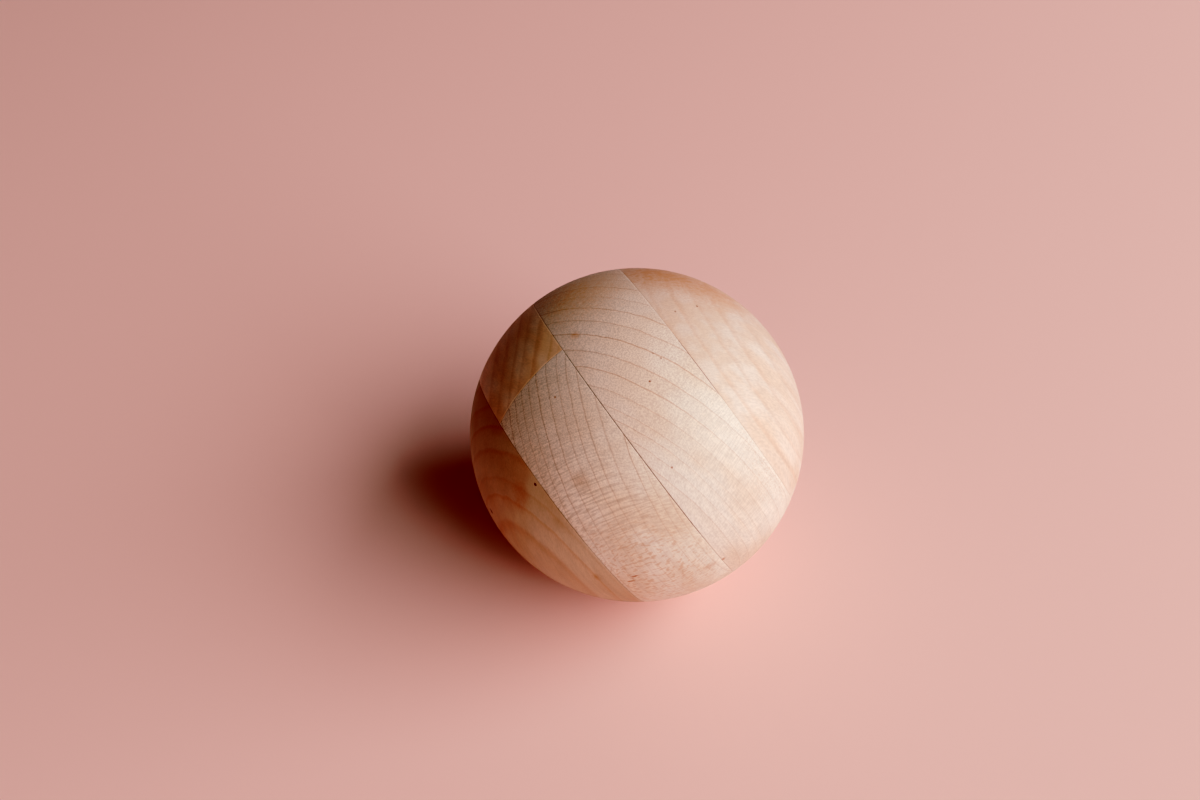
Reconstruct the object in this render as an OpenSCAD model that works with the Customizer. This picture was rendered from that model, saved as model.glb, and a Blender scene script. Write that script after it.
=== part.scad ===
// Solid wooden ball, turned from a blank of pale maple boards glued face to face.
// The origin is the centre of the ball and +Z points up as the ball lies.
// The glued faces of the boards are all parallel. One edge joint divides the lower core
// layer into a front and a back strip, and the back strip's grain runs another way.

/* [Ball] */
// Diameter of the finished ball
ball_d = 76; // [60:1:100]
// Facets round the ball, which only sets how smooth a preview looks
smoothness = 180; // [60:12:240]

/* [Boards] */
// Thickness of each board in the blank
board_t = 20; // [15:0.5:24]
// Distance of the middle glue line from the centre, along the stack
middle_line = -0.7; // [-4:0.1:4]
// Distance of the edge joint from the centre, across the grain
edge_line = 3.4; // [-10:0.1:10]

/* [How the ball lies] */
// Compass direction that the stack of boards leans towards, from +X to +Y
stack_turn = 27.7; // [0:0.1:360]
// Height of the stack's axis above level
stack_rise = 25.4; // [0:0.1:90]
// Turn of the grain about the stack's axis
grain_turn = 171.5; // [0:0.1:360]

/* [Hidden] */

reach = 0.75 * ball_d;             // half of a block that is larger than the ball
upper_line = middle_line + board_t;
lower_line = middle_line - board_t;

// Long-grain faces show a warmer tan than the end grain of the two middle boards
warm_maple = [0.84, 0.65, 0.48];
pale_maple = [0.89, 0.77, 0.64];
grey_maple = [0.82, 0.70, 0.58];
gold_maple = [0.66, 0.46, 0.28];

// Blank coordinates: X runs along the front boards' grain, Y across the edge joint, Z up the stack
module lay() {
    rotate([0, 90 - stack_rise, stack_turn]) rotate([0, 0, grain_turn]) children();
}

// Block of timber between two heights in the stack and between two places across it
module block(bottom, top, near = -reach, far = reach) {
    translate([-reach, near, bottom]) cube([2 * reach, far - near, top - bottom]);
}

// What the lathe leaves of a block, laid as the ball lies
module turned() {
    lay() intersection() {
        sphere(d = ball_d, $fn = smoothness);
        children();
    }
}

module upper_cap() {
    color(warm_maple) turned() block(upper_line, reach);
}

module upper_core() {
    color(pale_maple) turned() block(middle_line, upper_line);
}

module lower_core_front() {
    color(grey_maple) turned() block(lower_line, middle_line, near = edge_line);
}

module lower_core_back() {
    color(gold_maple) turned() block(lower_line, middle_line, far = edge_line);
}

module lower_cap() {
    color(warm_maple) turned() block(-reach, lower_line);
}

upper_cap();
upper_core();
lower_core_front();
lower_core_back();
lower_cap();
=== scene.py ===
import math

import bpy
import numpy as np
from mathutils import Matrix, Vector


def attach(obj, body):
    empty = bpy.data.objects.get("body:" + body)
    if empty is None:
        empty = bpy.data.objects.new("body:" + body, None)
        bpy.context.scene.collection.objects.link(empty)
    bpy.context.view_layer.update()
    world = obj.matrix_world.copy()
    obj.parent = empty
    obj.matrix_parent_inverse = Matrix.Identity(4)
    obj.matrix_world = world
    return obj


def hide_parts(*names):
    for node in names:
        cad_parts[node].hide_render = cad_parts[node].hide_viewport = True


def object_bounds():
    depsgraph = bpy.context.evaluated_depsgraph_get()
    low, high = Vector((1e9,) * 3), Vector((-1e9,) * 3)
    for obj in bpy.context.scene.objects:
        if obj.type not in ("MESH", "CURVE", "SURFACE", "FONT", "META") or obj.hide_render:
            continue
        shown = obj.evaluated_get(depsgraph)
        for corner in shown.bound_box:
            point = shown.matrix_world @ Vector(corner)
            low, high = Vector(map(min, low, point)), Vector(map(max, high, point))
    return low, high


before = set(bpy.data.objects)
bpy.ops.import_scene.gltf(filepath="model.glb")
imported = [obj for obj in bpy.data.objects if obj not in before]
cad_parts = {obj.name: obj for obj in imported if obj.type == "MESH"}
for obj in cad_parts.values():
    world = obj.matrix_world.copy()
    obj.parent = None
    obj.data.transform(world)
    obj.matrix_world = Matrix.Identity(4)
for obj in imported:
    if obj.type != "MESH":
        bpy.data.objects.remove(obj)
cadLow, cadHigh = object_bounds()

mm = 0.001
ballRadius = (cadHigh.z - cadLow.z) / 2 / mm  # the blank's own numbers are in millimetres

# How the glued blank lies, in degrees. In the blank, X runs along the grain of every board but the back
# strip, Y across the edge joint and Z up the stack.
blankLay = dict(stackTurn=27.7, stackRise=25.4, grainTurn=171.5)


def turnAbout(axis, degrees):
    return Matrix.Rotation(math.radians(degrees), 3, axis)


blankTurn = (
    turnAbout("Z", blankLay["stackTurn"])
    @ turnAbout("Y", 90 - blankLay["stackRise"])
    @ turnAbout("Z", blankLay["grainTurn"])
)


def nodeSpan(node, column):
    # Lowest and highest reach of a CAD node along one axis of the blank: its points times that column
    # of the lay.
    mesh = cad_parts[node].data
    points = np.zeros(len(mesh.vertices) * 3, np.float32)
    mesh.vertices.foreach_get("co", points)
    along = points.reshape(-1, 3) @ np.array(blankTurn)[:, column] / mm
    return float(along.min()), float(along.max())


lowerSeam, middleSeam = nodeSpan("lower_core_front", 2)
upperSeam = nodeSpan("upper_core", 2)[1]
edgeSeam = nodeSpan("lower_core_front", 1)[0]
print("seams up the stack", round(lowerSeam, 2), round(middleSeam, 2), round(upperSeam, 2))
print("edge joint at", round(edgeSeam, 2))

cameraSetup = dict(
    lens=35, sensor=36, lookDown=48.3, place=(-0.0083, -0.1724, 0.2053),
    nearest=0.005, farthest=20,
)


def makeCamera(lens, sensor, lookDown, place, nearest, farthest):
    data = bpy.data.cameras.new("mainCamera")
    data.lens = lens
    data.sensor_width = sensor
    data.clip_start = nearest
    data.clip_end = farthest
    camera = bpy.data.objects.new("mainCamera", data)
    camera.location = place
    camera.rotation_euler = (math.radians(90 - lookDown), 0, 0)
    bpy.context.scene.collection.objects.link(camera)
    bpy.context.scene.camera = camera


# A broad window at the side, a weak warm lamp in front and a little warm light from above.
lightDistance = 1.6
lightSetup = dict(
    window=dict(azimuth=-18, rise=36, width=2.0, height=1.5, power=37.5, colour=(1, 0.99, 0.98)),
    front=dict(azimuth=-72, rise=28, width=1.4, height=1.0, power=3.5, colour=(1, 0.80, 0.62)),
    sky=dict(azimuth=0, rise=86, width=1.6, height=1.6, power=0.9, colour=(1, 0.82, 0.64)),
)


def makeLight(name, azimuth, rise, width, height, power, colour):
    # The lamp faces the ball from its distance along (cos rise cos azimuth, cos rise sin azimuth, sin rise).
    data = bpy.data.lights.new(name, "AREA")
    data.shape = "RECTANGLE"
    data.size = width
    data.size_y = height
    data.energy = power
    data.color = colour
    lamp = bpy.data.objects.new(name, data)
    turn = math.radians(azimuth)
    lift = math.radians(rise)
    outward = Vector((math.cos(lift) * math.cos(turn), math.cos(lift) * math.sin(turn), math.sin(lift)))
    lamp.location = outward * lightDistance
    lamp.rotation_euler = outward.to_track_quat("Z", "Y").to_euler()
    bpy.context.scene.collection.objects.link(lamp)


roomSetup = dict(light=(0.90, 0.60, 0.48), strength=0.008, seen=(0.86, 0.74, 0.71))


def makeRoom(light, strength, seen):
    # A dim warm room lights the shade side, and straight into the camera it is a pale wall.
    world = bpy.data.worlds.new("room")
    world.use_nodes = True
    tree = world.node_tree
    tree.nodes.clear()
    path = tree.nodes.new("ShaderNodeLightPath")
    dim = tree.nodes.new("ShaderNodeBackground")
    dim.inputs["Color"].default_value = (*light, 1)
    dim.inputs["Strength"].default_value = strength
    wall = tree.nodes.new("ShaderNodeBackground")
    wall.inputs["Color"].default_value = (*seen, 1)
    choose = tree.nodes.new("ShaderNodeMixShader")
    output = tree.nodes.new("ShaderNodeOutputWorld")
    tree.links.new(path.outputs["Is Camera Ray"], choose.inputs[0])
    tree.links.new(dim.outputs[0], choose.inputs[1])
    tree.links.new(wall.outputs[0], choose.inputs[2])
    tree.links.new(choose.outputs[0], output.inputs["Surface"])
    bpy.context.scene.world = world


floorSetup = dict(halfWidth=1.2, steps=24, colour=(0.98, 0.62, 0.585), roughness=0.85, specular=0.2)


def makeFloor(halfWidth, steps, colour, roughness, specular):
    # Flat grid: x and y run evenly from -halfWidth to halfWidth, and z is the ball's lowest point.
    across = np.linspace(-halfWidth, halfWidth, steps)
    x, y = np.meshgrid(across, across)
    points = np.stack([x, y, np.full_like(x, cadLow.z)], axis=-1).reshape(-1, 3)
    corner = (np.arange(steps - 1)[:, None] * steps + np.arange(steps - 1)).ravel()
    faces = np.stack([corner, corner + 1, corner + steps + 1, corner + steps], axis=1)
    mesh = bpy.data.meshes.new("floor")
    mesh.from_pydata(points.tolist(), [], faces.tolist())
    floor = bpy.data.objects.new("floor", mesh)
    bpy.context.scene.collection.objects.link(floor)
    material = bpy.data.materials.new("floorPaint")
    material.use_nodes = True
    shader = material.node_tree.nodes["Principled BSDF"]
    shader.inputs["Base Color"].default_value = (*colour, 1)
    shader.inputs["Roughness"].default_value = roughness
    shader.inputs["Specular IOR Level"].default_value = specular
    mesh.materials.append(material)


# Each channel's curve takes scene light to picture light, as (scene, picture) points. The shoulder is soft,
# and the shade is pulled down and warm. A curve's last point is where it ends.
gradeSetup = dict(
    exposure=-0.06,
    red=[(0.12, 0.072), (0.20, 0.195), (0.40, 0.455), (0.65, 0.68), (0.80, 0.77), (1.0, 0.90)],
    green=[(0.045, 0.001), (0.075, 0.018), (0.13, 0.088), (0.30, 0.285), (0.65, 0.63), (1.0, 0.93)],
    blue=[(0.04, 0.0004), (0.065, 0.010), (0.11, 0.058), (0.22, 0.190), (0.54, 0.52), (1.0, 0.90)],
)


def gradeView(exposure, red, green, blue):
    settings = bpy.context.scene.view_settings
    settings.view_transform = "Standard"
    settings.exposure = exposure
    settings.use_curve_mapping = True
    for curve, points in zip(settings.curve_mapping.curves, (red, green, blue)):
        curve.points[-1].location = points[-1]
        for scene, picture in points[:-1]:
            curve.points.new(scene, picture)
    settings.curve_mapping.update()


makeCamera(**cameraSetup)
for lampName, lampValues in lightSetup.items():
    makeLight(lampName, **lampValues)
makeRoom(**roomSetup)
makeFloor(**floorSetup)
gradeView(**gradeSetup)
print("camera, light and floor are in")

# The boards' shapes, in the blank's millimetres.
shapeValues = dict(
    columns=400,  # points round a whole ring of the ball
    arcShare=0.6,  # share of them on a strip's arc
    chordShare=0.25,  # and on its straight glued edge
    rowGap=0.62,  # between rows, along the surface
    easeSteps=(0.03, 0.07, 0.12, 0.19, 0.30, 0.48),  # extra rows this far from every glued edge
    easeClear=1.6,  # the even rows start this many times the last of those away
    easeDepth=0.05,  # how far the glued edge is sanded down
    easeWidth=0.09,  # and over what width
    flats=0.035,  # height of the shallow flats left by sanding
    flatWaves=((7, 3, 0, 0), (0, 6, -4, 1), (5, 0, 8, 2)),  # each one's pace along x, y and z, and its start
    faceRings=12,  # rings of points over a glued face
    poleGap=1e-6,  # a row nearer to a pole than this angle is left to the closing point
)


def surfaceSteps(start, end, gap, fine):
    # Places from start to end, evenly gap apart, with the fine steps added next to both ends.
    count = max(3, round((end - start) / gap))
    even = np.linspace(start, end, count + 1)
    clear = fine[-1] * shapeValues["easeClear"]
    keep = even[(even > start + clear) & (even < end - clear)]
    return np.concatenate([[start], start + fine, keep, end - fine[::-1], [end]])


def sandedRadius(points, planes, proud):
    # Radius of the sanded ball, with low waves of the direction and a bell-shaped dip at each glued plane:
    # r = R + proud - flats * (1 - waves) - depth * exp(-(distance / width) ** 2)
    direction = points / np.linalg.norm(points, axis=-1, keepdims=True)
    waves = np.zeros(direction.shape[:-1])
    for *pace, start in shapeValues["flatWaves"]:
        waves = waves + np.cos(direction @ np.array(pace) + start) / len(shapeValues["flatWaves"])
    dip = np.zeros_like(waves)
    for axis, level in planes:
        dip = np.maximum(dip, np.exp(-(((points[..., axis] - level) / shapeValues["easeWidth"]) ** 2)))
    return ballRadius + proud - shapeValues["flats"] * (1 - waves) - shapeValues["easeDepth"] * dip


def boardOutline(radius, side):
    # Outline of a level slice. A whole board has a full circle. A strip has the circle's arc on its own
    # side of the edge joint, then the straight glued edge back. The second array says which points are
    # on the ball.
    columns = shapeValues["columns"]
    if side == 0:
        angle = np.linspace(0, 2 * np.pi, columns, endpoint=False)
        return np.stack([radius * np.cos(angle), radius * np.sin(angle)], axis=-1), np.ones(columns, bool)
    start = math.asin(side * edgeSeam / radius)
    fine = np.array(shapeValues["easeSteps"]) / radius
    even = np.linspace(start, np.pi - start, int(columns * shapeValues["arcShare"]))
    even = even[2:-2]  # clear of the fine steps
    angle = np.concatenate([[start], start + fine, even, np.pi - start - fine[::-1], [np.pi - start]])
    arc = np.stack([radius * np.cos(angle), side * radius * np.sin(angle)], axis=-1)
    along = np.linspace(-1, 1, int(columns * shapeValues["chordShare"]))[1:-1] * radius * math.cos(start)
    chord = np.stack([along, np.full_like(along, edgeSeam)], axis=-1)
    isArc = np.concatenate([np.ones(len(arc), bool), np.zeros(len(chord), bool)])
    return np.concatenate([arc, chord]), isArc


def faceRows(edge, centre):
    # Rings over a glued face: its edge drawn in evenly towards the centre.
    shrink = np.linspace(1, 0, shapeValues["faceRings"] + 1)[1:-1]
    return centre + (edge - centre) * shrink[:, None, None]


def closingPoint(level, middle, proud):
    # The middle of a glued face, or the pole of the ball where the board runs out to it.
    if abs(level) < ballRadius:
        return np.array([0, middle, level])
    pole = np.array([0, 0, math.copysign(1.0, level)])
    return pole * sandedRadius(pole, [], proud)


def boardGrid(low, high, side, proud):
    # Rows of outlines: over the lower glued face from its middle, up the ball's side, and back over the
    # upper glued face. Up the side, a row stands at height R sin(t), with its outline cut from
    # radius R cos(t).
    fine = np.array(shapeValues["easeSteps"]) / ballRadius
    startArc = math.asin(low / ballRadius)
    endArc = math.asin(high / ballRadius)
    arcs = surfaceSteps(startArc, endArc, shapeValues["rowGap"] / ballRadius, fine)
    arcs = arcs[np.abs(arcs) < np.pi / 2 - shapeValues["poleGap"]]
    planes = [(2, level) for level in (low, high) if abs(level) < ballRadius]
    if side != 0:
        planes.append((1, edgeSeam))
    rows = []
    for arc in arcs:
        outline, isArc = boardOutline(ballRadius * math.cos(arc), side)
        row = np.column_stack([outline, np.full(len(outline), ballRadius * math.sin(arc))])
        scale = sandedRadius(row, planes, proud) / ballRadius
        row[isArc] *= scale[isArc, None]
        row[~isArc, 0] *= scale[0]  # the straight edge ends at the strip's sanded corners
        rows.append(row)
    middle = (edgeSeam + side * ballRadius) / 2 if side != 0 else 0.0
    firstTip = closingPoint(low, middle, proud)
    lastTip = closingPoint(high, middle, proud)
    before, after = [], []
    if abs(low) < ballRadius:
        rows[0][:, 2] = low
        before = list(faceRows(rows[0], firstTip)[::-1])
    if abs(high) < ballRadius:
        rows[-1][:, 2] = high
        after = list(faceRows(rows[-1], lastTip))
    onBall = np.zeros(len(before) + len(rows) + len(after) - 1, bool)
    onBall[len(before):len(before) + len(rows) - 1] = True
    return np.stack(before + rows + after), firstTip, lastTip, onBall, isArc


def makeBoard(name, material, low, high, proud, side=0):
    # The grid's rows are joined by four-sided faces, and a fan closes each end. Only the faces on the ball
    # are shaded smooth.
    grid, firstTip, lastTip, onBall, isArc = boardGrid(low, high, side, proud)
    rows, columns = grid.shape[:2]
    points = np.concatenate([grid.reshape(-1, 3), [firstTip], [lastTip]]) * mm
    points = points @ np.array(blankTurn).T
    here = np.arange(columns)
    beside = (here + 1) % columns
    base = (np.arange(rows - 1) * columns)[:, None]
    quads = np.stack([base + here, base + beside, base + columns + beside, base + columns + here], axis=-1)
    quads = quads.reshape(-1, 4)
    top = (rows - 1) * columns
    fanLow = np.stack([np.full(columns, rows * columns), beside, here], axis=1)
    fanHigh = np.stack([np.full(columns, rows * columns + 1), top + here, top + beside], axis=1)
    if side < 0:  # the back strip's outline runs the other way round
        quads, fanLow, fanHigh = quads[:, ::-1], fanLow[:, ::-1], fanHigh[:, ::-1]
    smoothQuads = (onBall[:, None] & (isArc & isArc[beside])[None, :]).ravel()
    smoothFans = [np.full(columns, abs(level) >= ballRadius) for level in (low, high)]
    mesh = bpy.data.meshes.new(name)
    mesh.from_pydata(points.tolist(), [], quads.tolist() + fanLow.tolist() + fanHigh.tolist())
    mesh.polygons.foreach_set("use_smooth", np.concatenate([smoothQuads, *smoothFans]))
    mesh.update()
    mesh.materials.append(material)
    board = bpy.data.objects.new(name, mesh)
    bpy.context.scene.collection.objects.link(board)
    return board


def tone(red, green, blue):
    # A colour from 0 to 255, as a screen shows it, made linear for the shaders by the usual screen curve.
    share = np.array([red, green, blue]) / 255
    linear = np.where(share <= 0.04045, share / 12.92, ((share + 0.055) / 1.055) ** 2.4)
    return (*linear.tolist(), 1.0)


def feed(tree, value, socket):
    # Links a socket, or sets a plain value.
    if isinstance(value, bpy.types.NodeSocket):
        tree.links.new(value, socket)
    else:
        socket.default_value = value


def calc(tree, operation, first, second=0.0, third=0.0):
    node = tree.nodes.new("ShaderNodeMath")
    node.operation = operation
    for socket, value in zip(node.inputs, (first, second, third)):
        feed(tree, value, socket)
    return node.outputs[0]


def product(tree, first, *others):
    total = first
    for other in others:
        total = calc(tree, "MULTIPLY", total, other)
    return total


def vectorCalc(tree, operation, first, second=(0, 0, 0), third=(0, 0, 0)):
    node = tree.nodes.new("ShaderNodeVectorMath")
    node.operation = operation
    for socket, value in zip(node.inputs, (first, second, third)):
        feed(tree, value, socket)
    return node.outputs["Value"] if operation == "LENGTH" else node.outputs["Vector"]


def splitVector(tree, vector):
    node = tree.nodes.new("ShaderNodeSeparateXYZ")
    feed(tree, vector, node.inputs[0])
    return node.outputs


def joinVector(tree, x, y, z):
    node = tree.nodes.new("ShaderNodeCombineXYZ")
    for socket, value in zip(node.inputs, (x, y, z)):
        feed(tree, value, socket)
    return node.outputs[0]


def turnVector(tree, vector, turn, scale=1.0):
    # The vector scaled, then turned.
    node = tree.nodes.new("ShaderNodeMapping")
    feed(tree, vector, node.inputs["Vector"])
    node.inputs["Rotation"].default_value = turn.to_euler("XYZ")
    node.inputs["Scale"].default_value = (scale, scale, scale)
    return node.outputs[0]


def smoothStep(tree, value, start, end, low=0.0, high=1.0):
    # low before start and high past end, with a smooth rise between. start may be the larger.
    node = tree.nodes.new("ShaderNodeMapRange")
    node.interpolation_type = "SMOOTHSTEP"
    for socket, given in zip(node.inputs, (value, start, end, low, high)):
        feed(tree, given, socket)
    return node.outputs[0]


mixSockets = dict(share=0, below=6, above=7, result=2)  # where the mix node keeps its colour sockets


def mixColour(tree, share, below, above):
    node = tree.nodes.new("ShaderNodeMix")
    node.data_type = "RGBA"
    feed(tree, share, node.inputs[mixSockets["share"]])
    feed(tree, below, node.inputs[mixSockets["below"]])
    feed(tree, above, node.inputs[mixSockets["above"]])
    return node.outputs[mixSockets["result"]]


def dimColour(tree, colour, brightness):
    node = tree.nodes.new("ShaderNodeVectorMath")
    node.operation = "SCALE"
    feed(tree, colour, node.inputs[0])
    feed(tree, brightness, node.inputs["Scale"])
    return node.outputs["Vector"]


def noise(tree, vector, stretch, shift, detail=1.0, rough=0.5):
    # Cloudy noise on vector * stretch + shift, about 0.5 in the middle.
    node = tree.nodes.new("ShaderNodeTexNoise")
    feed(tree, vectorCalc(tree, "MULTIPLY_ADD", vector, stretch, shift), node.inputs["Vector"])
    node.inputs["Scale"].default_value = 1.0
    node.inputs["Detail"].default_value = detail
    node.inputs["Roughness"].default_value = rough
    return node.outputs[0]


def startGroup(name, inputs, outputs):
    # A group with its sockets: inputs are (label, kind, value), outputs are (label, kind).
    group = bpy.data.node_groups.new(name, "ShaderNodeTree")
    for label, kind, value in inputs:
        socket = group.interface.new_socket(label, in_out="INPUT", socket_type="NodeSocket" + kind)
        socket.default_value = value
    for label, kind in outputs:
        group.interface.new_socket(label, in_out="OUTPUT", socket_type="NodeSocket" + kind)
    given = group.nodes.new("NodeGroupInput").outputs
    result = group.nodes.new("NodeGroupOutput").inputs
    return group, given, result


def useGroup(tree, group, **values):
    node = tree.nodes.new("ShaderNodeGroup")
    node.node_tree = group
    for label, value in values.items():
        feed(tree, value, node.inputs[label])
    return node.outputs


# The effects that every board shares. The three numbers of a noise are its pace along x, y and z.
bendValues = dict(slow=(0.02, 0.07, 0.07), quick=(0.05, 0.45, 0.45), quickShare=0.55)


def buildRingDistance():
    # Distance out from the pith line: sign(P) * (sqrt((z + P)^2 + y^2) - |P|), bent a little by noise.
    # Polar is the same place with y laid off round the pith, P * arctan(y / (z + P)), so the rays fan out.
    group, given, result = startGroup(
        "ringDistance",
        [
            ("Vector", "Vector", (0, 0, 0)),
            ("Pith", "Float", 80.0),
            ("Wobble", "Float", 0.5),
            ("Seed", "Vector", (0, 0, 0)),
        ],
        [("Distance", "Float"), ("Polar", "Vector")],
    )
    axes = splitVector(group, given["Vector"])
    fromPith = calc(group, "ADD", axes["Z"], given["Pith"])
    squared = calc(group, "MULTIPLY_ADD", axes["Y"], axes["Y"], product(group, fromPith, fromPith))
    away = calc(group, "SUBTRACT", calc(group, "SQRT", squared), calc(group, "ABSOLUTE", given["Pith"]))
    signed = product(group, away, calc(group, "SIGN", given["Pith"]))
    slow = noise(group, given["Vector"], bendValues["slow"], given["Seed"])
    quick = noise(group, given["Vector"], bendValues["quick"], given["Seed"])
    bend = calc(group, "MULTIPLY_ADD", quick, bendValues["quickShare"], slow)
    bend = calc(group, "SUBTRACT", bend, (1 + bendValues["quickShare"]) / 2)
    feed(group, calc(group, "MULTIPLY_ADD", bend, given["Wobble"], signed), result["Distance"])
    around = calc(group, "ARCTANGENT", calc(group, "DIVIDE", axes["Y"], fromPith))
    polar = joinVector(group, axes["X"], product(group, around, given["Pith"]), signed)
    feed(group, polar, result["Polar"])
    return group


yearValues = dict(
    crest=0.35,  # the line is darkest this share of its width before the year's end
    weakest=0.5,  # strength of the faintest year
    spread=0.6,  # and how much more the strongest has
    rise=2.5,  # power of the slow darkening
    fall=0.82,  # share of the year where it starts to go
)


def buildGrowthRings():
    # Each whole number of Year is one ring, and its fraction is how far through the year a place is.
    # Line is the thin dark late wood, just before the year turns, and Shade the slow darkening up to it.
    group, given, result = startGroup(
        "growthRings",
        [("Year", "Float", 0.0), ("Width", "Float", 0.1), ("Seed", "Float", 0.0)],
        [("Line", "Float"), ("Shade", "Float"), ("Random", "Float")],
    )
    share = calc(group, "FRACT", given["Year"])
    year = calc(group, "FLOOR", given["Year"])
    chance = group.nodes.new("ShaderNodeTexWhiteNoise")
    chance.noise_dimensions = "1D"
    feed(group, calc(group, "ADD", year, given["Seed"]), chance.inputs["W"])
    random = chance.outputs["Value"]
    begin = calc(group, "SUBTRACT", 1.0, given["Width"])
    crest = calc(group, "MULTIPLY_ADD", given["Width"], -yearValues["crest"], 1.0)
    line = product(group, smoothStep(group, share, begin, crest), smoothStep(group, share, 1.0, crest))
    strength = calc(group, "MULTIPLY_ADD", random, yearValues["spread"], yearValues["weakest"])
    feed(group, product(group, line, strength), result["Line"])
    rise = calc(group, "POWER", share, yearValues["rise"])
    shade = product(group, rise, smoothStep(group, share, 1.0, yearValues["fall"]), strength)
    feed(group, shade, result["Shade"])
    feed(group, random, result["Random"])
    return group


rayValues = dict(
    sway=(0.06, 0.06, 0.06),  # a slow noise that bends the rays
    swayReach=(0, 1.5, 0),  # sideways by this much
    pale=(0.53, 0.64),  # where in the noise each begins to show, and where it is full
    dark=(0.47, 0.37),
    fleck=(0.56, 0.68),
    fleckStretch=(1.1, 1.5, 8.0),  # a fleck's noise has this many times the ribbons' pace
)


def buildWoodRays():
    # Rays are ribbons: tall along the fibre (x), thin across (y) and long out from the pith (z).
    # Noise with those three sizes, cut high, gives pale ones, and cut low gives dark ones. Flecks are
    # short dots of a finer noise, for where the ribbons' sides show.
    group, given, result = startGroup(
        "woodRays",
        [("Vector", "Vector", (0, 0, 0)), ("Stretch", "Vector", (1, 1, 1)), ("Seed", "Vector", (0, 0, 0))],
        [("Pale", "Float"), ("Dark", "Float"), ("Fleck", "Float")],
    )
    sway = noise(group, given["Vector"], rayValues["sway"], given["Seed"], detail=0)
    bent = vectorCalc(group, "MULTIPLY_ADD", rayValues["swayReach"], sway, given["Vector"])
    ribbon = noise(group, bent, given["Stretch"], given["Seed"], detail=0)
    feed(group, smoothStep(group, ribbon, *rayValues["pale"]), result["Pale"])
    feed(group, smoothStep(group, ribbon, *rayValues["dark"]), result["Dark"])
    short = vectorCalc(group, "MULTIPLY", given["Stretch"], rayValues["fleckStretch"])
    dots = noise(group, bent, short, given["Seed"], detail=0)
    feed(group, smoothStep(group, dots, *rayValues["fleck"]), result["Fleck"])
    return group


poreValues = dict(
    fine=(0.12, 3.6, 3.6), speckle=(0.30, 0.70),
    broad=(0.03, 0.9, 0.9), streak=(0.32, 0.68),
    rough=0.6,
)


def buildPores():
    # Vessels and fibres are long threads: noise that is fine across (y, z) and slow along (x).
    group, given, result = startGroup(
        "pores",
        [("Vector", "Vector", (0, 0, 0)), ("Seed", "Vector", (0, 0, 0))],
        [("Speckle", "Float"), ("Streak", "Float")],
    )
    fine = noise(group, given["Vector"], poreValues["fine"], given["Seed"], 1, poreValues["rough"])
    broad = noise(group, given["Vector"], poreValues["broad"], given["Seed"], 2, poreValues["rough"])
    feed(group, smoothStep(group, fine, *poreValues["speckle"]), result["Speckle"])
    feed(group, smoothStep(group, broad, *poreValues["streak"]), result["Streak"])
    return group


seamValues = dict(
    ragged=(0.9, 0.9, 0.9), shift=(3, 1, 7), rough=0.7,
    thinnest=0.3,  # the line's width is thinnest + spread * noise times its own
    spread=1.4,
    core=0.25,  # full dark inside this share of the width
    edge=5.0,  # the band beside it reaches this many widths
)


def buildSeamLine():
    # Line is dark where |Distance| is under Width, with the width broken up by noise along the joint.
    # The second output is a wider band along it, which carries a painted highlight.
    group, given, result = startGroup(
        "seamLine",
        [("Distance", "Float", 0.0), ("Vector", "Vector", (0, 0, 0)), ("Width", "Float", 0.12)],
        [("Line", "Float"), ("HighlightBand", "Float")],
    )
    away = calc(group, "ABSOLUTE", given["Distance"])
    ragged = noise(group, given["Vector"], seamValues["ragged"], seamValues["shift"], 2, seamValues["rough"])
    uneven = calc(group, "MULTIPLY_ADD", ragged, seamValues["spread"], seamValues["thinnest"])
    width = product(group, given["Width"], uneven)
    line = smoothStep(group, away, width, product(group, width, seamValues["core"]))
    feed(group, line, result["Line"])
    edge = smoothStep(group, away, product(group, given["Width"], seamValues["edge"]), given["Width"])
    feed(group, edge, result["HighlightBand"])
    return group


spotValues = dict(ragged=(1.6, 1.6, 1.6), shift=(5, 2, 9), spread=0.7)


def buildSpot():
    # A blot: the length of the stretched step to the centre, over the radius and made ragged by noise.
    # Mask is 0 past a length of 1, and full inside 1 - Soft.
    group, given, result = startGroup(
        "spot",
        [
            ("Vector", "Vector", (0, 0, 0)),
            ("Centre", "Vector", (0, 0, 0)),
            ("Stretch", "Vector", (1, 1, 1)),
            ("Radius", "Float", 1.0),
            ("Soft", "Float", 0.6),
        ],
        [("Mask", "Float")],
    )
    away = vectorCalc(group, "SUBTRACT", given["Vector"], given["Centre"])
    away = vectorCalc(group, "LENGTH", vectorCalc(group, "MULTIPLY", away, given["Stretch"]))
    ragged = noise(group, given["Vector"], spotValues["ragged"], spotValues["shift"], detail=2)
    uneven = calc(group, "MULTIPLY_ADD", ragged, spotValues["spread"], -spotValues["spread"] / 2)
    share = calc(group, "ADD", calc(group, "DIVIDE", away, given["Radius"]), uneven)
    solid = calc(group, "SUBTRACT", 1.0, given["Soft"])
    feed(group, smoothStep(group, share, 1.0, solid), result["Mask"])
    return group


ringDistance = buildRingDistance()
growthRings = buildGrowthRings()
woodRays = buildWoodRays()
pores = buildPores()
seamLine = buildSeamLine()
spot = buildSpot()
print("wood effects are built")

glueDark = tone(96, 56, 34)
mapleValues = dict(
    endGrain=(0.35, 0.95),  # where end grain begins and is full, along the fibre in ball radii
    rayFace=(0.80, 0.98),  # where the rays' sides begin to show and are full, across the fibre
    cloud=(0.36, 0.64),
    cloudRough=0.55,
    faceFade=-0.8,  # change of the ray lines where their sides show
    endFade=-0.6,  # and on end grain
    longSpeckle=0.4,  # share of the speckle left on long grain
    spotSpread=0.5,  # how far the streaks make a spot uneven
    openEase=(3, 4),  # half the degrees over which an open stretch begins and ends
)
ringDrift = dict(
    size=0.22,  # share by which the ring gap comes and goes past the named rings
    turn=2.3,  # how fast it does so, in radians a ring
    beyond=2,  # how far past the ball the rings go on
)


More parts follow.
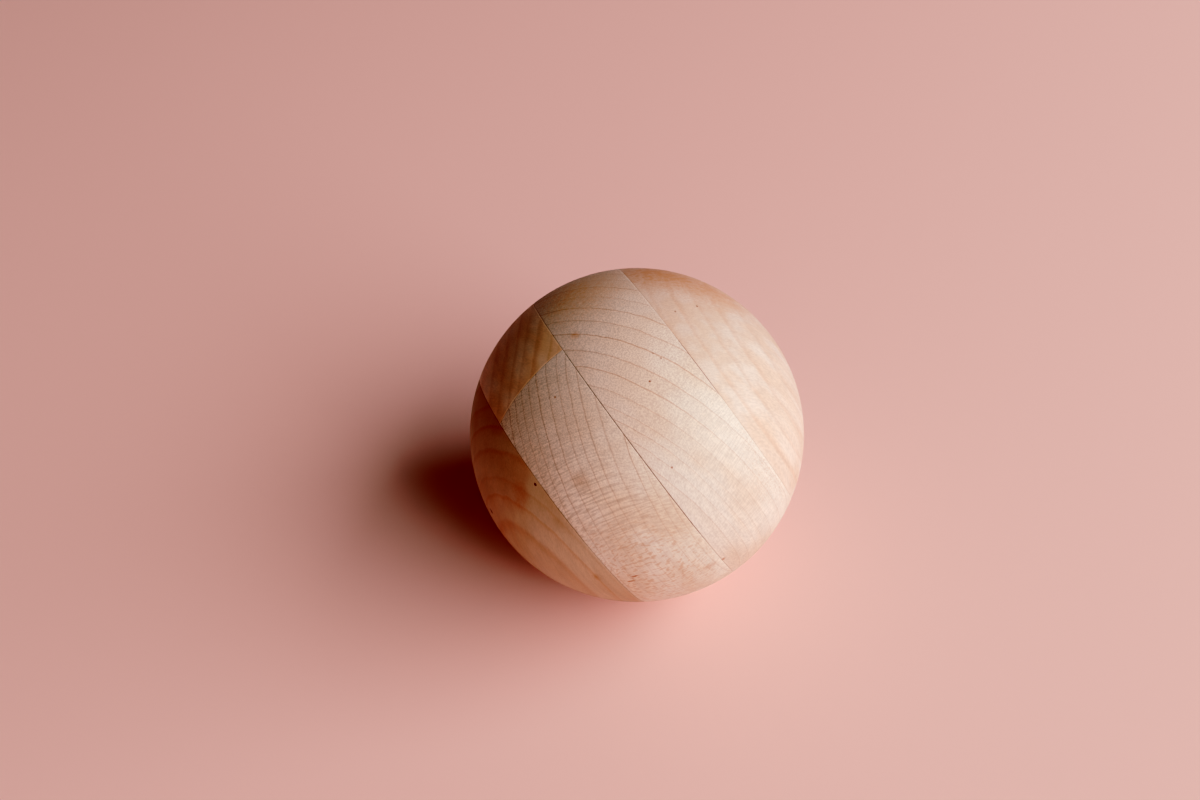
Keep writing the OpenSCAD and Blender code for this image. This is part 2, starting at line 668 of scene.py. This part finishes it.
def countYears(tree, distance, ringLines, ringGap, outward):
    # Turns the distance from the pith into a running year: a straight line between each ring and the next.
    # Past the named rings the years go on, about ringGap apart.
    reach = ballRadius + ringDrift["beyond"]
    lines = list(ringLines)
    added = 0
    while lines[0] > -reach or lines[-1] < reach:
        added += 1
        gap = ringGap * (1 + ringDrift["size"] * math.sin(ringDrift["turn"] * added))
        if lines[0] > -reach:
            lines.insert(0, lines[0] - gap)
        else:
            lines.append(lines[-1] + gap)
    low, high, count = lines[0], lines[-1], len(lines) - 1
    node = tree.nodes.new("ShaderNodeFloatCurve")
    curve = node.mapping.curves[0]
    for index, line in enumerate(lines):
        along = (line - low) / (high - low)
        years = index / count if outward > 0 else 1 - index / count
        if 0 < index < count:
            point = curve.points.new(along, years)
        else:
            point = curve.points[0 if index == 0 else -1]
            point.location = (along, years)
        point.handle_type = "VECTOR"
    node.mapping.update()
    share = calc(tree, "MULTIPLY_ADD", distance, 1 / (high - low), -low / (high - low))
    feed(tree, share, node.inputs["Value"])
    return product(tree, node.outputs[0], float(count))


def readWood(tree, look):
    # All that a material needs to know of a place: where it is in the blank and in the board's own grain,
    # its year, rays and pores, how far it shows end grain, and how far the rays' sides.
    seed = look["seed"]
    coordinates = tree.nodes.new("ShaderNodeTexCoord").outputs["Object"]
    blank = turnVector(tree, coordinates, blankTurn.transposed(), 1 / mm)
    grainTurn = turnAbout("Z", look["fibreTurn"]) @ turnAbout("X", -look["ringTurn"])
    grain = turnVector(tree, blank, grainTurn.transposed())
    blankAxes = splitVector(tree, blank)
    grainAxes = splitVector(tree, grain)
    pith = look["pith"]
    fromPith = useGroup(tree, ringDistance, Vector=grain, Pith=pith, Wobble=look["wobble"], Seed=seed)
    years = countYears(tree, fromPith["Distance"], look["ringLines"], look["ringGap"], pith)
    rings = useGroup(tree, growthRings, Year=years, Width=look["lineWidth"], Seed=seed[0])
    rays = useGroup(tree, woodRays, Vector=fromPith["Polar"], Stretch=look["rayStretch"], Seed=seed)
    threads = useGroup(tree, pores, Vector=grain, Seed=seed)

    endReach = [share * ballRadius for share in mapleValues["endGrain"]]
    endGrain = smoothStep(tree, calc(tree, "ABSOLUTE", grainAxes["X"]), *endReach)
    faceReach = [share * ballRadius for share in mapleValues["rayFace"]]
    rayFace = smoothStep(tree, calc(tree, "ABSOLUTE", grainAxes["Y"]), *faceReach)

    lineFade = smoothStep(tree, blankAxes["X"], *look["lineFade"])
    line = product(tree, rings["Line"], look["lineShare"], lineFade)
    onFace = calc(tree, "MULTIPLY_ADD", rayFace, mapleValues["faceFade"], 1.0)
    onEnd = calc(tree, "MULTIPLY_ADD", endGrain, mapleValues["endFade"], 1.0)
    rayFade = smoothStep(tree, blankAxes["Z"], *look["rayFade"])
    rayShow = product(tree, look["rayShare"], onFace, onEnd, rayFade)
    rayTone = product(tree, calc(tree, "SUBTRACT", rays["Pale"], rays["Dark"]), rayShow)
    return dict(
        blank=blank, blankAxes=blankAxes, grain=grain, endGrain=endGrain, rayFace=rayFace,
        rings=rings, line=line, rays=rays, rayShow=rayShow, rayTone=rayTone, threads=threads,
    )


def colourWood(tree, look, wood):
    # Clouds of pale and warm wood, then end grain, years and dark rays as tints. Years, rays, speckles and
    # streaks also change the brightness, each as a factor near 1. Flecks come last.
    endGrain = wood["endGrain"]
    cloud = noise(tree, wood["grain"], look["figure"], look["seed"], 2, mapleValues["cloudRough"])
    colour = mixColour(tree, smoothStep(tree, cloud, *mapleValues["cloud"]), look["pale"], look["warm"])
    colour = mixColour(tree, product(tree, endGrain, look["endShare"]), colour, look["endColour"])
    lateShade = product(tree, wood["rings"]["Shade"], look["shadeShare"])
    colour = mixColour(tree, lateShade, colour, look["lateColour"])
    colour = mixColour(tree, wood["line"], colour, look["lineColour"])
    darkRays = product(tree, wood["rays"]["Dark"], wood["rayShow"])
    colour = mixColour(tree, darkRays, colour, look["lateColour"])

    bright = calc(tree, "MULTIPLY_ADD", wood["rings"]["Random"], look["yearTone"], 1 - look["yearTone"] / 2)
    bright = calc(tree, "MULTIPLY_ADD", wood["rayTone"], bright, bright)
    longSpeckle = look["speckleShare"] * mapleValues["longSpeckle"]
    speckleShow = calc(tree, "MULTIPLY_ADD", endGrain, look["speckleShare"], longSpeckle)
    speckle = product(tree, calc(tree, "SUBTRACT", wood["threads"]["Speckle"], 0.5), speckleShow)
    bright = calc(tree, "MULTIPLY_ADD", speckle, bright, bright)
    streakShow = calc(tree, "MULTIPLY_ADD", endGrain, -look["streakShare"], look["streakShare"])
    streak = product(tree, calc(tree, "SUBTRACT", wood["threads"]["Streak"], 0.5), streakShow)
    bright = calc(tree, "MULTIPLY_ADD", streak, bright, bright)
    colour = dimColour(tree, colour, bright)

    fleck = product(tree, wood["rays"]["Fleck"], wood["rayFace"], look["fleckShare"])
    return mixColour(tree, fleck, colour, look["fleckColour"])


def addSpots(tree, look, wood, colour):
    # Specks, stains and soft patches of painted shade, each a blot that the streaks make uneven: share * (1
    # + spread * (streak - 1/2)).
    spread = mapleValues["spotSpread"]
    streak = wood["threads"]["Streak"]
    for centre, radius, stretch, soft, share, tint in look["spots"]:
        shape = dict(Centre=centre, Stretch=stretch, Radius=radius, Soft=soft)
        blot = useGroup(tree, spot, Vector=wood["blank"], **shape)
        uneven = calc(tree, "MULTIPLY_ADD", streak, spread * share, (1 - spread / 2) * share)
        colour = mixColour(tree, product(tree, blot["Mask"], uneven), colour, tint)
    return colour


def openStretch(tree, bearing, start, end):
    # 1 between two bearings round the stack, in degrees from the blank's X, and 0 outside them.
    easeIn, easeOut = mapleValues["openEase"]
    begun = smoothStep(tree, bearing, math.radians(start - easeIn), math.radians(start + easeIn))
    going = smoothStep(tree, bearing, math.radians(end + easeOut), math.radians(end - easeOut))
    return product(tree, begun, going)


def addSeams(tree, look, wood, colour):
    # A thin glue line along each joint, darker where the joint has opened. Along the band beside it, a
    # painted highlight pales the wood by the board's share.
    seamMask = 0.0
    axes = wood["blankAxes"]
    bearing = calc(tree, "ARCTAN2", axes["Y"], axes["X"])
    for axis, level, width, share, gap in look["seams"]:
        away = calc(tree, "SUBTRACT", axes[axis], level)
        seam = useGroup(tree, seamLine, Distance=away, Vector=wood["blank"], Width=width)
        strength = share
        if gap:
            start, end, openShare = gap
            isOpen = openStretch(tree, bearing, start, end)
            strength = calc(tree, "MULTIPLY_ADD", isOpen, openShare - share, share)
        dark = product(tree, seam["Line"], strength)
        colour = mixColour(tree, dark, colour, glueDark)
        colour = mixColour(tree, product(tree, seam["HighlightBand"], look["seamHighlight"]), colour, look["pale"])
        seamMask = calc(tree, "MAXIMUM", seamMask, dark)
    return colour, seamMask


finishValues = dict(
    roughness=0.46, endRough=0.10, streakRough=0.08, rayRough=-0.25, seamRough=0.2, specular=0.38,
    speckleHeight=0.45, rayHeight=0.9, lineHeight=-0.6, seamHeight=-2.0,  # in bump depths
    bumpDepth=0.012,
)


def finishWood(tree, wood, seamMask, shader):
    # Roughness and height are weighted sums of what the wood shows at a place.
    finish = finishValues
    rough = calc(tree, "MULTIPLY_ADD", wood["endGrain"], finish["endRough"], finish["roughness"])
    rough = calc(tree, "MULTIPLY_ADD", wood["threads"]["Streak"], finish["streakRough"], rough)
    rough = calc(tree, "MULTIPLY_ADD", wood["rayTone"], finish["rayRough"], rough)
    rough = calc(tree, "MULTIPLY_ADD", seamMask, finish["seamRough"], rough)
    feed(tree, rough, shader.inputs["Roughness"])
    shader.inputs["Specular IOR Level"].default_value = finish["specular"]

    height = product(tree, wood["rayTone"], finish["rayHeight"])
    height = calc(tree, "MULTIPLY_ADD", wood["threads"]["Speckle"], finish["speckleHeight"], height)
    height = calc(tree, "MULTIPLY_ADD", wood["line"], finish["lineHeight"], height)
    height = calc(tree, "MULTIPLY_ADD", seamMask, finish["seamHeight"], height)
    bump = tree.nodes.new("ShaderNodeBump")
    bump.inputs["Strength"].default_value = 1.0
    bump.inputs["Distance"].default_value = finish["bumpDepth"] * mm
    feed(tree, height, bump.inputs["Height"])
    feed(tree, bump.outputs["Normal"], shader.inputs["Normal"])


def mapleMaterial(name, look):
    material = bpy.data.materials.new(name)
    material.use_nodes = True
    tree = material.node_tree
    shader = tree.nodes["Principled BSDF"]
    wood = readWood(tree, look)
    colour = colourWood(tree, look, wood)
    colour = addSpots(tree, look, wood, colour)
    colour, seamMask = addSeams(tree, look, wood, colour)
    feed(tree, colour, shader.inputs["Base Color"])
    finishWood(tree, wood, seamMask, shader)
    return material


# In each board's look, fibreTurn and ringTurn lay its grain in the blank, in degrees, and pith is how far
# off the tree's middle is. ringLines are the year lines, in mm from the ring through the ball's middle.
# lineFade and rayFade are smooth steps, as start, end, low and high: lines along the blank's X, rays
# along its Z. Spots are centre, radius, stretch, softness, share and colour. Seams are axis, place,
# width, share and, where the joint has opened, its two bearings and the share between them.
evenFade = (0, 1, 1, 1)  # the same everywhere
evenly = (1, 1, 1)
speckTint = tone(140, 84, 52)

upperCapLook = dict(
    seed=(11.0, 4.0, 7.0), fibreTurn=0, ringTurn=8, pith=-182.0, wobble=1.0, ringGap=3.4,
    ringLines=(20.0, 23.7, 27.2, 30.2, 33.7),
    lineWidth=0.40, lineShare=0.12, lineFade=evenFade, shadeShare=0.26, yearTone=0.03,
    pale=tone(233, 212, 202), warm=tone(228, 200, 184), endColour=tone(224, 194, 172), endShare=0.4,
    lateColour=tone(214, 166, 136), lineColour=tone(196, 138, 98), figure=(0.02, 0.22, 0.30),
    rayStretch=(1.2, 3.2, 0.10), rayShare=0.04, rayFade=evenFade,
    speckleShare=0.10, streakShare=0.07,
    fleckShare=0.25, fleckColour=tone(196, 132, 84), seamHighlight=0.0,
    spots=[
        ((26.2, 5.0, 27.1), 0.35, evenly, 0.5, 0.8, speckTint),
        ((29.9, 6.2, 22.6), 0.30, evenly, 0.5, 0.7, speckTint),
        # These three soft blots make a warmer, darker band along the ball's top edge: partly the board's own
        # colour, partly painted shade.
        ((27.5, -12.0, 23.5), 10.5, (0.42, 0.8, 0.9), 1.0, 0.62, tone(204, 140, 98)),
        ((24.0, -8.0, 28.0), 10.5, (0.42, 0.8, 0.9), 1.0, 0.52, tone(206, 144, 102)),
        ((19.5, -2.0, 32.5), 9.0, (0.42, 0.8, 0.9), 1.0, 0.50, tone(208, 148, 106)),
    ],
    seams=[("Z", upperSeam, 0.09, 0.12, (24, 47, 0.8))],
)
upperCoreLook = dict(
    seed=(3.0, 8.0, 2.0), fibreTurn=0, ringTurn=-48.5, pith=79.0, wobble=0.8, ringGap=3.6,
    ringLines=(-19.5, -17.2, -15.0, -13.2, -10.2, -6.7, -3.2, 0.8, 4.5, 8.3, 12.0, 15.8, 19.0),
    lineWidth=0.11, lineShare=0.62, lineFade=(12, 36, 0.4, 1), shadeShare=0.14, yearTone=0.04,
    pale=tone(234, 218, 209), warm=tone(226, 201, 185), endColour=tone(232, 210, 194), endShare=0.6,
    lateColour=tone(214, 170, 134), lineColour=tone(176, 120, 82), figure=(0.03, 0.08, 0.10),
    rayStretch=(2.4, 5.0, 0.35), rayShare=0.06, rayFade=(0, 18, 0.8, 1),
    speckleShare=0.22, streakShare=0.08,
    # The last share here paints a highlight along this board's seams, where the eased edges would catch the
    # light.
    fleckShare=0.3, fleckColour=tone(190, 130, 86), seamHighlight=0.15,
    spots=[
        ((31.3, 19.2, 9.7), 0.30, evenly, 0.5, 0.85, speckTint),
        ((32.4, 14.5, 13.6), 0.25, evenly, 0.5, 0.7, speckTint),
        ((31.4, 16.0, 14.3), 0.25, evenly, 0.5, 0.7, speckTint),
        ((20.8, 31.7, 3.0), 0.30, evenly, 0.5, 0.7, speckTint),
        ((37.8, 2.2, 3.1), 1.5, evenly, 0.9, 0.5, tone(196, 126, 70)),
        # A large soft warm patch over the top-left, on the side away from the window: painted shade.
        ((35.0, -12.0, 8.0), 15.0, (0.5, 1, 0.9), 1.0, 0.55, tone(222, 162, 112)),
        ((-6.5, 37.4, -0.4), 0.8, evenly, 0.8, 0.6, tone(168, 106, 66)),
    ],
    seams=[("Z", upperSeam, 0.09, 0.12, (24, 47, 0.9)), ("Z", middleSeam, 0.11, 0.25, (8, 83, 0.95))],
)
lowerFrontLook = dict(
    seed=(6.0, 1.0, 9.0), fibreTurn=0, ringTurn=29, pith=-217.0, wobble=0.8, ringGap=2.3,
    ringLines=(-13.7, -11.7, -9.7, -7.7, -5.5, -3.0, -0.5, 1.6, 3.7, 6.5, 9.8, 11.5),
    lineWidth=0.17, lineShare=0.60, lineFade=(8, 33, 0.35, 1), shadeShare=0.16, yearTone=0.05,
    pale=tone(238, 223, 211), warm=tone(228, 205, 187), endColour=tone(230, 210, 195), endShare=0.6,
    lateColour=tone(206, 162, 130), lineColour=tone(156, 106, 74), figure=(0.05, 0.10, 0.08),
    rayStretch=(1.8, 4.1, 0.11), rayShare=0.18, rayFade=(-1, -15, 0.4, 1),
    speckleShare=0.22, streakShare=0.06,
    fleckShare=0.38, fleckColour=tone(192, 134, 84), seamHighlight=0.0,
    spots=[
        ((35.6, 11.0, -7.5), 0.35, evenly, 0.5, 0.7, tone(170, 100, 60)),
        ((25.8, 24.5, -13.4), 2.6, (0.8, 1, 1), 1.0, 0.35, tone(168, 116, 76)),
        ((2.2, 33.8, -17.3), 0.9, (2.6, 1, 0.7), 0.6, 0.8, tone(170, 92, 48)),
        ((0.6, 33.2, -18.6), 0.9, (2.6, 1, 0.7), 0.6, 0.8, tone(176, 100, 54)),
        ((-5.8, 37.4, -3.5), 2.0, (1, 1, 0.7), 1.0, 0.35, tone(176, 120, 80)),
    ],
    seams=[
        ("Z", middleSeam, 0.11, 0.25, (8, 83, 0.95)),
        ("Z", lowerSeam, 0.10, 0.40, (38, 62, 0.7)),
        ("Y", edgeSeam, 0.08, 0.25, None),
    ],
)
lowerBackLook = dict(
    seed=(9.0, 5.0, 1.0), fibreTurn=54, ringTurn=39, pith=-102.0, wobble=0.7, ringGap=1.9,
    ringLines=(-33.9, -31.9, -29.9, -28.2, -26.2, -23.2),
    lineWidth=0.60, lineShare=0.12, lineFade=evenFade, shadeShare=0.28, yearTone=0.05,
    pale=tone(242, 212, 190), warm=tone(230, 188, 156), endColour=tone(234, 202, 176), endShare=0.3,
    lateColour=tone(188, 120, 64), lineColour=tone(168, 100, 50), figure=(0.03, 0.10, 0.12),
    rayStretch=(1.4, 7.0, 0.2), rayShare=0.03, rayFade=evenFade,
    speckleShare=0.08, streakShare=0.10,
    fleckShare=0.2, fleckColour=tone(188, 118, 72), seamHighlight=0.0,
    spots=[],
    seams=[
        ("Z", middleSeam, 0.10, 0.25, None),
        ("Z", lowerSeam, 0.10, 0.35, None),
        ("Y", edgeSeam, 0.08, 0.25, None),
    ],
)
lowerCapLook = dict(
    seed=(2.0, 7.0, 5.0), fibreTurn=0, ringTurn=-25, pith=84.0, wobble=1.0, ringGap=5.2,
    ringLines=(-34.1, -31.1, -28.6, -24.1, -20.1),
    lineWidth=0.30, lineShare=0.16, lineFade=evenFade, shadeShare=0.36, yearTone=0.04,
    pale=tone(212, 187, 165), warm=tone(198, 166, 141), endColour=tone(180, 136, 106), endShare=0.6,
    lateColour=tone(190, 122, 70), lineColour=tone(166, 96, 50), figure=(0.03, 0.10, 0.12),
    rayStretch=(1.4, 7.0, 0.2), rayShare=0.04, rayFade=evenFade,
    speckleShare=0.08, streakShare=0.10,
    fleckShare=0.2, fleckColour=tone(188, 118, 72), seamHighlight=0.0,
    spots=[
        ((25.7, 17.8, -21.6), 0.40, (0.8, 0.8, 1.3), 0.5, 0.8, tone(60, 24, 10)),
        ((13.3, 4.7, -35.3), 1.0, evenly, 0.7, 0.8, tone(110, 32, 14)),
        ((3.7, 29.3, -23.9), 1.3, (0.6, 1, 1), 1.0, 0.5, tone(176, 120, 76)),
        ((23.2, 15.3, -25.9), 3.4, (0.5, 1, 1), 1.0, 0.35, tone(176, 104, 54)),
    ],
    seams=[("Z", lowerSeam, 0.10, 0.40, (38, 62, 0.7))],
)

# low and high are a board's ends up the stack, side says which side of the edge joint a strip is on, and
# proud is how far a board stands out past the sanded ball.
boards = dict(
    upper_cap=dict(low=upperSeam, high=ballRadius, proud=0.0, look=upperCapLook),
    upper_core=dict(low=middleSeam, high=upperSeam, proud=0.015, look=upperCoreLook),
    lower_core_front=dict(low=lowerSeam, high=middleSeam, side=1, proud=0.0, look=lowerFrontLook),
    lower_core_back=dict(low=lowerSeam, high=middleSeam, side=-1, proud=0.008, look=lowerBackLook),
    lower_cap=dict(low=-ballRadius, high=lowerSeam, proud=-0.006, look=lowerCapLook),
)
for node, values in boards.items():
    look = values.pop("look")
    board = makeBoard(node + "_board", mapleMaterial("maple_" + node, look), **values)
    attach(board, "root")
    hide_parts(node)
    print("made", board.name, len(board.data.polygons), "faces")
